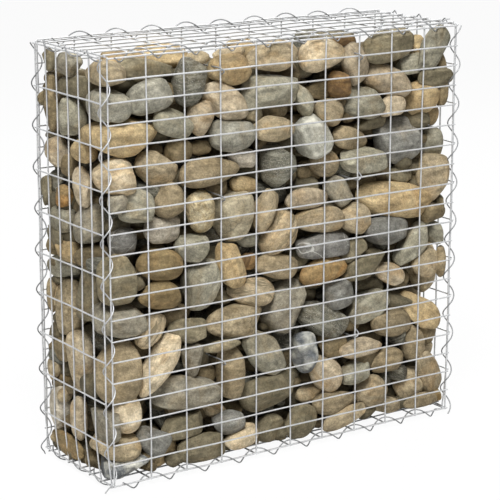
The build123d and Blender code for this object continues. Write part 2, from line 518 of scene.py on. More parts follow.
def bent_wire(points, radius):
    """A wire through these points."""
    bm = bmesh.new()
    heading = (points[1] - points[0]).normalized()
    ring = ring_at(bm, points[0], heading, radius)
    for number in range(1, len(points)):
        ring = drawn_on(bm, ring, points[number] - points[number - 1])
        following = points[min(number + 1, len(points) - 1)] - points[number - 1]
        turn = heading.rotation_difference(following.normalized()).to_matrix()
        bmesh.ops.rotate(bm, verts=ring, cent=points[number], matrix=turn)
        heading = following.normalized()
    close_wire(bm)
    return bm


for node in sorted(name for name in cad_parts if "_spacer_" in name):
    low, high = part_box(node)
    weld_x, weld_z = (low.x + high.x) / 2, (low.z + high.z) / 2
    upright = -1 if node in HOOKED_FROM_BELOW else 1
    front_half = [
        Vector((weld_x + aside, low.y + depth + SPACER_WIRE / 2, weld_z + upright * rise))
        for aside, depth, rise in HOOK_POINTS
    ]
    back_half = [Vector((point.x, -point.y, point.z)) for point in reversed(front_half)]
    spacer = bent_wire(front_half + back_half, SPACER_WIRE / 2)
    for vert in spacer.verts:
        vert.co = kinked(vert.co)
    made = finished_piece(node + "_wire", spacer, [SPACER_ZINC], [node])
    print(made.name, len(made.data.polygons), "faces")

# %% [markdown]
# ## Where the cobbles lie
# The stones were chosen and laid by hand, so a random pile never looks right from the front. Each stone
# that shows is listed: how far along the face it is in bays of mesh, how far up in rows, the
# length and height of its outline in millimetres, how much its right-hand end is lifted in degrees, which
# end is thicker (1 for the right or upper end, -1 for the other) and its kind of rock. An outline is seen
# along a line of sight, so the stone's middle is found by walking from the mesh into the basket along
# that line until the stone just touches the wires from inside. A last number 0 marks a stone that lies
# before its neighbours, 2 one behind.

# %% Stones read on the front, upper half
UPPER_FRONT = [
    (0.95, 19.35, 185, 66, -5, -0.9, "olive"), (2.33, 19.65, 70, 36, 0, 0, "tan", 2),
    (2.11, 18.6, 88, 110, 0, 0.4, "granite"), (3.2, 19.89, 112, 30, 0, 0, "cream", 2),
    (3.21, 18.97, 120, 72, -6, 0.3, "honey", 0), (4.38, 19.39, 155, 76, 0, 0, "tan"),
    (5.27, 18.75, 75, 66, -10, 0, "olive", 2), (5.85, 19.18, 130, 80, -7, -0.6, "cream"),
    (6.5, 19.95, 80, 28, 0, 0, "rust", 2), (6.8, 18.66, 112, 76, -62, 0.3, "sand"),
    (7.79, 19.35, 172, 78, 3, 0, "olive"), (8.76, 19.2, 64, 56, 0, 0, "honey", 2),
    (9.48, 19.15, 128, 72, 50, 0.6, "grey", 0), (8.51, 18.3, 104, 68, 12, 0.7, "grey"),
    (9.4, 17.54, 100, 47, -6, -0.3, "olive", 0), (1.06, 18.16, 114, 76, 14, 0.4, "pale"),
    (1.42, 18.15, 84, 72, 0, 0, "brown", 2), (3.07, 17.5, 134, 76, -35, 0, "sand"),
    (4.35, 17.77, 160, 82, 0, 0, "grey"), (5.3, 17.2, 92, 54, -55, 0.6, "grey"),
    (5.69, 17.6, 90, 56, 0, 0, "brown", 2), (6.35, 17.65, 66, 72, 0, 0, "rust", 0),
    (7.82, 17.65, 146, 74, -15, -0.3, "sand"), (1.68, 16.75, 122, 62, -28, -0.7, "grey", 0),
    (2.44, 16.85, 73, 80, 0, 0.7, "sand", 0), (4.4, 16.85, 92, 50, 0, 0, "buff", 2),
    (3.8, 16.8, 56, 46, 0, 0, "olive", 2), (6.05, 16.48, 98, 74, -25, 0.3, "tan"),
    (7.12, 16.65, 122, 80, -24, 0, "grey"), (8.02, 16.35, 76, 54, 8, 0, "sand", 0),
    (8.92, 16.6, 112, 88, 8, -0.5, "honey"), (9.16, 15.75, 88, 62, -10, 0, "honey", 2),
    (1.15, 14.82, 136, 88, -18, 0, "tan", 0), (1.8, 15.55, 80, 56, -10, 0, "brown", 2),
    (2.34, 15.5, 68, 42, 0, 0, "brown", 2), (3.28, 15.88, 125, 74, -4, 0, "pale"),
    (4.46, 15.98, 122, 60, -5, 0, "tan", 0), (5.53, 15.4, 118, 96, -65, 0.2, "veined"),
    (6.63, 16.15, 54, 46, 0, 0, "buff", 2), (6.7, 15.02, 136, 62, -14, -0.5, "buff"),
    (7.34, 15.7, 110, 42, 0, 0, "olive", 2), (8.14, 14.6, 136, 118, 0, 0, "slate"),
    (9.16, 14.2, 104, 104, 0, 0.3, "grey", 0), (2.66, 14.3, 168, 70, -4, -0.8, "buff"),
    (3.55, 14.8, 100, 58, -20, 0.6, "mist"), (4.58, 14.2, 108, 108, 0, 0, "granite"),
    (5.92, 14.0, 108, 80, -24, 0.6, "tan"), (7.17, 13.82, 144, 64, -9, -0.6, "grey"),
    (0.18, 13.4, 58, 58, 0, 0, "dove", 0), (0.69, 13.18, 88, 80, -20, 0, "grey"),
    (1.54, 13.28, 82, 84, 0, 0, "buff", 0), (2.35, 12.52, 78, 98, 0, 0.5, "pitted", 0),
    (3.29, 12.1, 110, 122, 0, 0, "creased"), (3.57, 13.48, 102, 54, -18, 0.6, "honey"),
    (5.41, 12.35, 150, 64, -4, -0.3, "sand"), (4.21, 12.07, 106, 64, 62, 0.7, "tan"),
    (5.47, 13.6, 84, 52, 0, 0, "brown", 2), (6.35, 12.5, 90, 66, -52, 0.3, "dove", 2),
    (7.1, 12.6, 98, 56, 24, 0.3, "brown", 2), (8.2, 12.9, 90, 56, 0, 0, "olive", 2),
    (9.38, 12.46, 96, 120, 0, 0.4, "tan", 0), (1.34, 11.98, 132, 86, -6, 0.2, "mist"),
    (0.28, 11.55, 86, 96, 0, 0, "seamed", 0), (2.14, 10.92, 86, 72, -30, 0.4, "grey"),
    (8.1, 11.63, 220, 88, -9, 0, "honey"), (5.78, 11.22, 152, 66, -2, 0, "tan", 0),
    (6.93, 11.0, 104, 74, -20, -0.5, "tan"), (4.57, 10.9, 120, 102, 45, 0, "banded"),
    (3.66, 10.85, 90, 48, -6, 0, "grey"), (1.27, 10.3, 130, 74, -15, 0, "ochre"),
    (3.2, 9.66, 130, 76, -75, 0, "honey", 0),
]

# %% Stones read on the front, lower half
LOWER_FRONT = [
    (5.91, 9.94, 180, 74, -2, 0, "seamed"), (7.81, 10.1, 156, 80, -2, 0, "slate"),
    (9.41, 10.6, 82, 52, -12, -0.4, "brown"), (0.75, 9.94, 60, 52, 0, 0, "brown", 2),
    (3.73, 9.75, 50, 60, 70, 0, "rust", 2), (2.36, 9.05, 134, 112, 68, 0, "grey"),
    (1.26, 8.9, 122, 70, -6, 0.4, "ochre"), (4.52, 9.3, 134, 68, -13, 0.4, "buff"),
    (6.85, 9.38, 86, 56, 20, 0.4, "olive"), (8.72, 9.25, 140, 84, 38, 0.2, "grey", 0),
    (5.92, 8.65, 136, 76, 10, -0.3, "rusty", 0), (3.8, 8.28, 136, 74, -15, 0.4, "banded"),
    (7.2, 8.5, 138, 64, 9, 0.4, "olive"), (2.9, 8.3, 80, 54, 0, 0, "olive", 2),
    (9.2, 8.1, 128, 88, -20, 0.4, "tan"), (7.98, 7.9, 116, 60, -25, 0.4, "sand"),
    (0.98, 7.25, 100, 70, 50, 0.4, "banded"), (2.0, 7.0, 122, 72, -20, 0, "olive", 0),
    (3.3, 6.95, 166, 84, -9, 0, "rough", 0), (4.77, 7.3, 138, 124, 40, 0, "dove"),
    (6.41, 7.33, 98, 78, 0, 0, "slate", 0), (7.35, 7.45, 110, 56, 0, 0, "olive", 2),
    (5.9, 6.15, 152, 80, -29, 0.3, "granite"), (7.3, 6.42, 152, 98, 20, 0, "grey"),
    (9.0, 5.65, 180, 88, -42, 0, "honey"), (1.19, 5.53, 166, 86, 50, 0.9, "cream", 0),
    (2.15, 5.35, 60, 80, 0, 0.9, "dove"), (2.98, 5.82, 98, 28, 4, -0.5, "olive", 0),
    (4.17, 5.1, 154, 84, -38, 0.2, "grey"), (5.4, 4.67, 76, 108, 0, 0.3, "marbled", 0),
    (6.2, 4.8, 90, 70, 0, 0, "brown", 2), (3.22, 4.4, 80, 132, 0, 0, "buff"),
    (2.45, 4.55, 76, 60, 0, 0, "brown", 2), (1.97, 3.88, 180, 82, -12, -0.3, "dove"),
    (8.06, 5.3, 142, 76, -7, 0, "buff", 0), (7.12, 4.28, 132, 50, 4, 0, "sand"),
    (8.78, 4.0, 84, 96, 0, 0, "buff", 0), (9.32, 4.5, 90, 62, -30, 0, "brown", 2),
    (5.98, 3.42, 140, 82, -41, 0.4, "sand"),
    (1.6, 3.3, 66, 46, 0, 0, "brown", 2), (4.37, 3.1, 178, 94, 3, 0, "olive"),
    (7.96, 3.33, 120, 72, -2, 0, "buff"), (6.97, 3.08, 84, 62, 14, 0.2, "grey"),
    (9.46, 3.63, 64, 44, -15, 0, "tan", 2), (9.5, 2.2, 140, 70, -65, 0.4, "tan", 0),
    (2.7, 2.78, 92, 48, -25, 0.4, "tan", 2), (1.86, 2.27, 132, 68, 0, 0, "olive"),
    (1.0, 1.92, 96, 66, -42, 0.8, "slate", 0), (3.14, 1.95, 104, 76, 12, 0, "slate"),
    (5.58, 2.46, 104, 52, -4, 0, "tan", 2), (7.48, 1.88, 110, 84, -30, 0, "tan"),
    (8.65, 1.85, 118, 104, 0, 0, "tan", 0), (6.32, 1.72, 132, 62, 0, 0, "buff"),
    (1.28, 0.88, 100, 78, 25, 0, "honey"), (2.36, 0.88, 122, 70, 3, 0, "olive"),
    (3.5, 1.0, 100, 58, 14, 0.7, "cream", 0), (4.28, 1.28, 90, 72, 0, -0.4, "olive", 2),
    (5.32, 1.06, 98, 84, 0, 0, "olive"), (6.65, 0.66, 128, 50, 13, -0.4, "tan", 0),
    (7.78, 0.78, 128, 46, -8, 0, "tan", 2), (9.2, 0.8, 136, 42, 0, 0, "buff"),
]

# %% [markdown]
# The left end is read in the same way, in bays from the back edge and in rows of its wider mesh. Stones
# at the corner show on both faces, so they are given outright: middle and size in millimetres, with the
# height measured from the ground. A few lie on top, just under the lid.

# %% Stones read on the left end, the corner and the top
LEFT_COBBLES = [
    (1.55, 9.71, 60, 54, 0, 0, "olive"), (3.3, 9.7, 116, 56, 0, 0, "dove", 0),
    (4.45, 9.26, 150, 54, 0, 0, "olive", 2), (1.6, 8.7, 80, 134, 0, 0, "brown", 0),
    (3.5, 8.54, 138, 88, 5, 0, "grey"), (2.09, 7.6, 120, 72, 5, 0, "sand", 0),
    (4.6, 7.82, 128, 62, 8, 0, "honey"), (3.4, 7.36, 84, 60, 0, 0, "brown", 2),
    (4.42, 6.98, 100, 84, -55, 0.3, "sand"), (2.1, 6.88, 110, 76, 0, 0, "granite"),
    (0.9, 6.6, 56, 74, 0, 0, "olive", 0), (2.71, 6.6, 90, 56, 0, -0.3, "rusty", 0),
    (2.7, 6.05, 140, 68, 0, -0.4, "grey", 0), (4.9, 6.13, 172, 90, 25, 0, "dove"),
    (1.25, 5.57, 104, 46, 10, -0.4, "olive"), (3.12, 5.37, 130, 64, -4, -0.3, "honey", 0),
    (1.75, 4.93, 146, 68, 12, 0, "grey"), (4.65, 4.6, 114, 140, 0, 0, "olive"),
    (0.8, 4.07, 68, 100, 0, 0, "buff"), (2.9, 3.97, 152, 140, 0, 0, "rough", 0),
    (1.5, 2.88, 130, 80, -4, 0, "brown"), (3.9, 2.78, 124, 148, 0, 0.8, "cream", 0),
    (1.3, 2.24, 70, 60, 0, 0, "tan"),
    (2.52, 2.24, 92, 60, -15, 0, "ochre", 2), (1.78, 1.33, 104, 114, 0, 0, "mist"),
    (3.6, 1.33, 84, 110, 0, 0, "sand"), (0.56, 0.99, 46, 52, 0, 0, "honey"),
    (2.45, 0.5, 170, 56, 0, 0, "ochre"), (4.57, 0.42, 54, 38, 0, 0, "tan", 2),
]

# Middle x, y, z and size along x, y, z.
CORNER_COBBLES = [
    (-464, -97, 974, 82, 122, 60, "tan"), (-463, -98, 900, 92, 120, 76, "pale"),
    (-418, -77, 822, 182, 160, 92, "honey"), (-453, -108, 736, 110, 103, 88, "cream"),
    (-461, -120, 500, 95, 78, 122, "olive"), (-442, -90, 397, 133, 137, 78, "dove"),
    (-452, -103, 272, 112, 112, 155, "buff"), (-480, -100, 145, 58, 118, 82, "dove"),
    (-455, -85, 90, 108, 148, 75, "tan"), (-447, -100, 43, 124, 118, 50, "marbled"),
    (-441, -118, 171, 80, 64, 96, "cream"),
]
TOP_COBBLES = [
    (-392, -20, 985, 90, 110, 50, "honey"), (-256, 26, 982, 134, 150, 62, "honey"),
    (-56, -40, 985, 100, 110, 56, "honey"), (219, -40, 985, 115, 110, 56, "olive"),
]
FRONT_COBBLES = UPPER_FRONT + LOWER_FRONT
print("cobbles read:", len(FRONT_COBBLES + LEFT_COBBLES + CORNER_COBBLES + TOP_COBBLES))

# %% [markdown]
# For laying them, a cobble is thought of as an ellipsoid: a middle, three half sizes and a turn. Two of them
# overlap if their reaches towards each other are longer than the distance between their middles.

# %% Cobbles as ellipsoids
MILLIMETRE = 0.001


@dataclass
class Cobble:
    middle: Vector
    half: Vector
    turn: Matrix
    kind: str
    sight: Vector
    thick_end: float = 0.0
    fine: bool = True
    order: int = 1

    def form(self):
        """Matrix of the ellipsoid: a direction is divided by its reach."""
        turn = np.array(self.turn)
        return turn @ np.diag([1 / side**2 for side in self.half]) @ turn.T

    def reach(self, axis):
        """How far it reaches along an axis of the frame."""
        return math.sqrt(sum((self.turn[axis][number] * self.half[number]) ** 2 for number in range(3)))


class Pile:
    """The stones laid so far."""

    def __init__(self):
        self.cobbles = []
        self.middles = np.zeros((0, 3))
        self.forms = np.zeros((0, 3, 3))

    def overlap(self, cobble):
        """How deep a stone would lie in the worst of its neighbours."""
        if not self.cobbles:
            return -1.0
        apart = self.middles - np.array(cobble.middle)
        distance = np.maximum(np.linalg.norm(apart, axis=1), 1e-6)
        way = apart / distance[:, None]
        theirs = 1 / np.sqrt(np.einsum("ni,nij,nj->n", way, self.forms, way))
        ours = 1 / np.sqrt(np.einsum("ni,ij,nj->n", way, cobble.form(), way))
        return float((theirs + ours - distance).max())

    def lay(self, cobble):
        self.cobbles.append(cobble)
        self.middles = np.vstack([self.middles, np.array(cobble.middle)])
        self.forms = np.concatenate([self.forms, cobble.form()[None]])


# %% [markdown]
# The basket's inside is the space between the inner wires of its panels. A stone that reaches past it is
# moved back in.

# %% The inside of the basket
WIRE_GAP = Vector((0.0025, 0.0025, 0.0))
NEAR_PANELS = ("left_end_panel", "front_panel", "base_panel")
FAR_PANELS = ("right_end_panel", "back_panel", "lid_panel")
inside_low = Vector([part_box(node)[1][axis] for axis, node in enumerate(NEAR_PANELS)]) + WIRE_GAP
inside_high = Vector([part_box(node)[0][axis] for axis, node in enumerate(FAR_PANELS)]) - WIRE_GAP
print("inside:", [round(side, 3) for side in inside_high - inside_low])


def kept_inside(cobble):
    """Move a stone back between the panels."""
    for axis in range(3):
        reach = cobble.reach(axis)
        low, high = inside_low[axis] + reach, inside_high[axis] - reach
        cobble.middle[axis] = (low + high) / 2 if low > high else min(max(cobble.middle[axis], low), high)


# %% [markdown]
# A reading becomes a stone in three steps: the line of sight through its spot is found, its depth is chosen
# so that the outline still fits, and its middle is walked in along that line. A face seen at a slant shows
# some of a stone's depth as well, so the true length is shorter than the outline. A stone that would reach
# through another side of the basket is made flatter.

# %% Stones from readings
# Depth of a stone as a share of the shorter side of its outline: the first that fits is taken.
THICKNESS_SHARES = (0.82, 0.7, 0.58, 0.46)
# Greatest part of an outline that may be the stone's depth, seen at a slant.
DEPTH_SHARE = 0.8
LEAST_MOVE = 0.002
# A worn stone fills less than its ellipsoid, so it starts a little larger.
SWELL = 1.05
SWING = math.radians(12)
chance = random.Random(41)

# Corner of the reading, one bay along, one row up, and the way in.
END_BAYS = 6
front_face = Vector((basket_left, front_low.y, wall_bottom))
left_face = Vector((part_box("left_end_panel")[0].x, END_BAYS / 2 * MESH_SHORT, wall_bottom))
FACES = {
    "front": (front_face, Vector((MESH_LONG, 0, 0)), Vector((0, 0, MESH_SHORT)), Y),
    "left": (left_face, Vector((0, -MESH_SHORT, 0)), Vector((0, 0, MESH_LONG)), X),
}


def outlined(face, spot, half_length, half_height, tilt, swing, share):
    """Half sizes, turn and line of sight of a stone with this outline, touching the mesh from inside."""
    _, bay, _, way_in = FACES[face]
    sight = (spot - CAMERA_PLACE).normalized()
    across, inward = bay.normalized(), Vector([float(axis == way_in) for axis in range(3)])
    lean = Vector((sight.dot(across), sight.z)) / sight.dot(inward)
    along_stone = Vector((math.cos(tilt), math.sin(tilt)))
    slants = (lean.dot(along_stone), lean.dot(along_stone.orthogonal()))
    outline = (half_length, half_height)
    # A face seen at a slant shows a stone's depth too: the depth may make up only a part of the outline.
    thick = share * min(outline)
    for side, slant in zip(outline, slants):
        thick = min(thick, DEPTH_SHARE * side / max(abs(slant), 0.01))
    true_length, true_height = (
        math.sqrt(side**2 - (thick * slant) ** 2) for side, slant in zip(outline, slants)
    )
    basis = Matrix((across, inward, Vector((0, 0, 1)))).transposed()
    turn = basis @ Matrix.Rotation(-tilt, 3, "Y") @ Matrix.Rotation(swing, 3, "Z")
    return Vector((true_length, thick, true_height)), turn, sight


def read_cobble(face, along, up, length, height, tilt, thick_end, kind, order=1):
    """A stone read on a face; one that would reach through another side of the basket is made flatter."""
    corner, bay, row, way_in = FACES[face]
    spot = corner + bay * along + row * up
    half_length, half_height = (side * SWELL * MILLIMETRE / 2 for side in (length, height))
    swing = chance.uniform(-SWING, SWING)
    for share in THICKNESS_SHARES:
        half, turn, sight = outlined(face, spot, half_length, half_height, math.radians(tilt), swing, share)
        cobble = Cobble(spot, half, turn, kind, sight, thick_end, order=order)
        inner = inside_low[way_in] + cobble.reach(way_in)
        wanted = spot + sight * ((inner - spot[way_in]) / sight[way_in])
        cobble.middle = wanted.copy()
        kept_inside(cobble)
        if (cobble.middle - wanted).length < LEAST_MOVE:
            break
    return cobble


def given_cobble(x, y, z, length, depth, height, kind):
    """A stone given outright by its middle and size."""
    middle = Vector((x, y, z)) * MILLIMETRE
    half = Vector((length, depth, height)) * MILLIMETRE / 2
    cobble = Cobble(middle, half, Matrix.Identity(3), kind, (middle - CAMERA_PLACE).normalized())
    kept_inside(cobble)
    return cobble


# %% [markdown]
# Stones that lie in front are laid first, against the mesh, and big ones before small ones. One that
# would overlap them is made a little smaller and slid back along its own line of sight until it has room:
# from the camera it stays where it was read, only further in. A stone that lies behind its neighbours
# starts deeper from the outset.

# %% Lay the stones that were read
SLIDE_STEP = 0.003
# Size that a stone keeps on each try for room, and the steps that it may slide.
SLIDE_TRIES = ((1.0, 4), (0.94, 6), (0.88, 8), (0.82, 26))
BEHIND = 0.03
ROOM = 0.005


def slide_back(pile, cobble):
    """Find room for a stone: a little smaller, and further along its line of sight."""
    start, half, best = cobble.middle.copy(), cobble.half.copy(), None
    for share, steps in SLIDE_TRIES:
        cobble.half = half * share
        for step in range(steps):
            cobble.middle = start + cobble.sight * SLIDE_STEP * step
            kept_inside(cobble)
            overlap = pile.overlap(cobble)
            if overlap < ROOM:
                return
            if best is None or overlap < best[0]:
                best = (overlap, cobble.half, cobble.middle.copy())
    _, cobble.half, cobble.middle = best


pile = Pile()
for row in CORNER_COBBLES + TOP_COBBLES:
    pile.lay(given_cobble(*row))
read_stones = [read_cobble("front", *row) for row in FRONT_COBBLES]
read_stones += [read_cobble("left", *row) for row in LEFT_COBBLES]
for cobble in sorted(read_stones, key=lambda stone: (stone.order, -stone.half.x * stone.half.z)):
    if cobble.order == 2:
        cobble.middle += cobble.sight * BEHIND
    slide_back(pile, cobble)
    pile.lay(cobble)
print("laid as read:", len(pile.cobbles))

# %% [markdown]
# The far sides can't be seen, so they repeat the near ones: the same stones, turned half round the middle
# of the wall, and each cut to a new shape later on. One that finds no room is left out, and so are the
# highest ones at the back, where the fill stops short of the lid.

# %% Turn the stones round for the far sides
COPY_ROOM = 0.012
BACK_TOP = wall_top - 0.075
half_turn = Matrix.Rotation(math.pi, 3, "Z")
for cobble in list(pile.cobbles):
    place, turn = half_turn @ cobble.middle, half_turn @ cobble.turn
    copy = Cobble(place, cobble.half.copy(), turn, cobble.kind, cobble.sight, cobble.thick_end)
    if pile.overlap(copy) < COPY_ROOM and copy.middle.z < BACK_TOP:
        pile.lay(copy)
print("laid with the far sides:", len(pile.cobbles))

# %% [markdown]
# What is left inside is filled like a real basket: the largest stones that fit, then smaller ones. The
# small ones lie deep between the others, never against the mesh, so the gaps at the face stay dark. They
# have fewer faces.

# %% Fill the inside
# Half size of a fill stone, and how deep its middle lies at least behind the near faces and behind the back.
FILL_SIZES = (
    (0.052, 0.085, 0.0),
    (0.044, 0.08, 0.0),
    (0.036, 0.08, 0.02),
    (0.028, 0.08, 0.04),
    (0.022, 0.08, 0.05),
)
# Least and greatest share of that size in length, depth and height.
FILL_SHAPE = ((1.05, 1.5), (0.85, 1.1), (0.6, 0.85))
FILL_LEAN = 0.35
FILL_TRIES = 4000
FILL_ROOM = 0.015
RIGHT_DEPTH = 0.085
FILL_TOP = wall_top - 0.060
FILL_KINDS = ("olive", "brown", "olive", "brown", "granite")


def turn_any():
    """A turn any way round and a little off level."""
    heading = Matrix.Rotation(chance.uniform(0, math.tau), 3, "Z")
    return heading @ Matrix.Rotation(chance.gauss(0, FILL_LEAN), 3, "X")


for size, near_depth, back_depth in FILL_SIZES:
    for _ in range(FILL_TRIES):
        half = Vector([chance.uniform(*shares) for shares in FILL_SHAPE]) * size
        turn = turn_any()
        low = inside_low + Vector((near_depth, near_depth, half.z))
        high = inside_high - Vector((RIGHT_DEPTH, back_depth, half.z))
        spot = Vector([chance.uniform(low[axis], high[axis]) for axis in range(3)])
        spot.z = min(spot.z, FILL_TOP - half.z)
        thick_end = chance.uniform(-1, 1)
        kind = chance.choice(FILL_KINDS)
        cobble = Cobble(spot, half, turn, kind, Vector((0, 1, 0)), thick_end, fine=False)
        kept_inside(cobble)
        if pile.overlap(cobble) < FILL_ROOM:
            pile.lay(cobble)
print("laid with the fill:", len(pile.cobbles))

# %% [markdown]
# Seen from the front, a wall this thick lets no light through, apart from its outer edges. We look along
# many lines of sight through the mesh; where one meets no stone on its way, a small one is pushed into
# the gap from behind.

# %% Close the gaps that let light through
LOOK_STEP = 0.012
PLUG_SIZES = (0.036, 0.028, 0.022)
PLUG_SHAPE = Vector((1.3, 1.0, 0.8))
PLUG_DEPTHS = [0.05 + 0.01 * number for number in range(16)]
PLUG_ROOM = 0.018
# From where to where along each face.
LOOKED_AT = {"front": (0.0, 0.89), "left": (0.055, 0.31)}
SURE_SHARE = 0.85


def meets_stone(start, way):
    """Whether a line of sight meets any stone of the pile, and not only its edge."""
    start, way = pile.middles - np.array(start), np.array(way)
    ahead = np.einsum("i,nij,nj->n", way, pile.forms, start)
    across = np.einsum("i,nij,j->n", way, pile.forms, way)
    apart = np.einsum("ni,nij,nj->n", start, pile.forms, start)
    return bool((ahead**2 > across * (apart - SURE_SHARE**2)).any())


def plug(spot, sight, way_in):
    """The largest small stone that fits on a line of sight behind a face, if there is any."""
    for size in PLUG_SIZES:
        for depth in PLUG_DEPTHS:
            middle = spot + sight * (depth / sight[way_in])
            turn = turn_any()
            kind = chance.choice(FILL_KINDS)
            cobble = Cobble(middle, PLUG_SHAPE * size, turn, kind, sight, fine=False)
            kept_inside(cobble)
            if (cobble.middle - middle).length < size / 2 and pile.overlap(cobble) < PLUG_ROOM:
                return cobble
    return None


before = len(pile.cobbles)
for face, (corner, bay, row, way_in) in FACES.items():
    first, last = LOOKED_AT[face]
    for along in np.arange(first, last, LOOK_STEP):
        for up in np.arange(LOOK_STEP, FILL_TOP - wall_bottom, LOOK_STEP):
            spot = corner + bay.normalized() * along + Vector((0, 0, up))
            sight = (spot - CAMERA_PLACE).normalized()
            if not meets_stone(CAMERA_PLACE, sight):
                stone = plug(spot, sight, way_in)
                if stone:
                    pile.lay(stone)
print("small stones for the gaps:", len(pile.cobbles) - before, "in all", len(pile.cobbles))

# %% [markdown]
# ## The shape of a cobble
# A river cobble starts as a broken lump and is rolled until its edges are gone. We do the same: an
# icosphere is made a little blocky and tapered, knocked flat on a few sides, smoothed so that the edges
# round over, made slightly lumpy with noise, and stretched to its size. Hard rock such as slate keeps
# more of its block; sandstone wears rounder. A sculpt or a stack of displacement modifiers would cost
# more and show less.

# %% Shape one cobble
ANGULAR = (
    "olive", "slate", "seamed", "marbled", "granite", "grey",
    "brown", "veined", "rust", "creased", "rough", "dove",
)
# Power of the form that a stone starts from: 2 is a ball, and more comes closer to a box.
BLOCKY, ROUNDED = 2.8, 2.3
# How many sides are knocked flat, and how much of the reach is left: hard rock, then sandstone.
FLATS = {True: (7, 11, 0.68, 0.92), False: (5, 8, 0.74, 0.94)}
TAPER = 0.30
# Part of the taper that a stone may have where no thicker end was read.
ODD_TAPER = 0.6
SKEW = 0.16
# Height and rate of the broad lumps and of the ripples on them.
LUMPS, LUMP_RATE = 0.06, 1.2
RIPPLES, RIPPLE_RATE = 0.026, 3.4
# How far apart the noise of two stones may be taken.
SHAPE_RANGE = 40


def random_vector(size):
    return Vector([chance.uniform(-size, size) for _ in range(3)])


def knock_flat(ball, share):
    """Take off what stands proud of a plane at this share of the reach in a random direction."""
    facing = Vector([chance.gauss(0, 1) for _ in range(3)]).normalized()
    level = max(vert.co.dot(facing) for vert in ball) * share
    for vert in ball:
        proud = vert.co.dot(facing) - level
        if proud > 0:
            vert.co -= facing * proud


def stretch_to(ball, half):
    """Centre a stone and stretch it to its half sizes."""
    for axis in range(3):
        places = [vert.co[axis] for vert in ball]
        middle, span = (max(places) + min(places)) / 2, (max(places) - min(places)) / 2
        for vert in ball:
            vert.co[axis] = (vert.co[axis] - middle) * half[axis] / span


def worn_cobble(bm, half, thick_end, kind, fine):
    """A cobble of these half sizes about the origin, thicker towards one end of its longer side."""
    ball = bmesh.ops.create_icosphere(bm, subdivisions=4 if fine else 3, radius=1.0)["verts"]
    power = BLOCKY if kind in ANGULAR else ROUNDED
    long_axis = X if half.x > half.z else Z
    taper = TAPER * (thick_end or chance.uniform(-ODD_TAPER, ODD_TAPER))
    skew = chance.uniform(-SKEW, SKEW)
    for vert in ball:
        vert.co *= sum(abs(side) ** power for side in vert.co) ** (-1 / power)
        vert.co.x += skew * vert.co.z
        swell = 1 + taper * vert.co[long_axis]
        vert.co = Vector([side if axis == long_axis else side * swell for axis, side in enumerate(vert.co)])
    fewest, most, least_left, most_left = FLATS[kind in ANGULAR]
    for _ in range(chance.randint(fewest, most)):
        knock_flat(ball, chance.uniform(least_left, most_left))
    for _ in range(1 if kind in ANGULAR else 2):
        bmesh.ops.smooth_vert(bm, verts=ball, factor=0.5, use_axis_x=True, use_axis_y=True, use_axis_z=True)
    seed = random_vector(SHAPE_RANGE)
    for vert in ball:
        lump = LUMPS * noise.noise(vert.co * LUMP_RATE + seed)
        vert.co *= 1 + lump + RIPPLES * noise.noise(vert.co * RIPPLE_RATE - seed)
    stretch_to(ball, half)
    return ball


def pressed_inside(bm, ball):
    """Move a stone so that none of it passes the wires."""
    for axis in range(3):
        places = [vert.co[axis] for vert in ball]
        move = Vector()
        move[axis] = max(0, inside_low[axis] - min(places)) - max(0, max(places) - inside_high[axis])
        bmesh.ops.translate(bm, verts=ball, vec=move)


# %% [markdown]
# ## Rock
# The cobbles are sandstone, siltstone, slate and a little granite. They share a skin: two tones that
# mottle into each other, a fine grain, specks of other minerals, and a tone of their own for each stone.
# That is one node group. Bedding bands, quartz veins and weather pits are three more, used where a kind
# of rock has them.

# %% Shared skin of the rock
def noise_value(tree, vector, scale, detail=4.0, roughness=0.6, distortion=0.0):
    """A noise texture's value."""
    inputs = {"Vector": vector, "Scale": scale, "Detail": detail}
    inputs |= {"Roughness": roughness, "Distortion": distortion}
    return add_node(tree, "ShaderNodeTexNoise", inputs).outputs["Fac"]


def product(tree, first, second):
    """Two values multiplied."""
    return combined(tree, "MULTIPLY", first, second)


def layered(tree, grain, layers):
    """Grain squeezed across the bed of the stone, so that noise on it lies in layers."""
    return add_node(tree, "ShaderNodeVectorMath", {0: grain, 1: layers}, operation="MULTIPLY").outputs[0]


